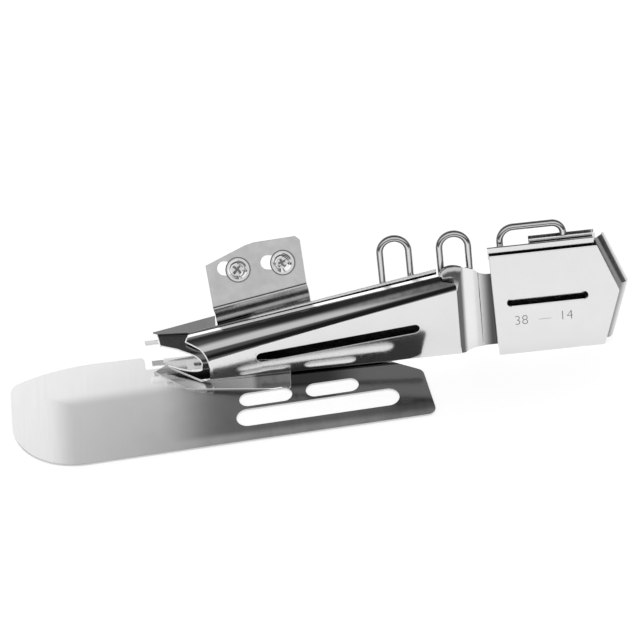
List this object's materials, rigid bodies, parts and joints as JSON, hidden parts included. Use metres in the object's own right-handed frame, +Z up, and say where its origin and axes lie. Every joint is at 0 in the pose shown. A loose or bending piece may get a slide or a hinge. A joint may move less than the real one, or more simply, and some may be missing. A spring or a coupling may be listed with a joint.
{
  "type": "binder foot",
  "caption": "Right-angle bias tape binder of welded bright sheet on a slotted base plate, with upright tape guide, tapered folding scroll, wire tape loops and a screw tab.",
  "frame": {"origin": "centre of the long slot, on the underside of the base plate", "axes": "+Z up from the base plate, +X along the plate towards the tape inlet, +Y away from the operator"},
  "size_m": [0.2252, 0.0589, 0.0442],
  "materials": {
    "plate": "polished",
    "sheet": "polished",
    "wire": "bright drawn",
    "fasteners": "bright plated"
  },
  "bodies": {
    "root": {"base_plate": "plate", "scroll_foot": "sheet", "outer_scroll": "sheet", "scroll_liner": "sheet", "upper_blade": "sheet", "lower_blade": "sheet", "rear_blade": "sheet", "scroll_wall": "sheet", "neck_sheet": "sheet", "guide_front": "sheet", "guide_back": "sheet", "top_channel": "sheet", "wire_loop_left": "wire", "wire_loop_middle": "wire", "wire_loop_large": "wire", "mounting_tab": "sheet", "tab_screw_1": "fasteners", "tab_washer_1": "fasteners", "tab_nut_1": "fasteners", "tab_screw_2": "fasteners", "tab_washer_2": "fasteners", "tab_nut_2": "fasteners"}
  },
  "joints": []
}
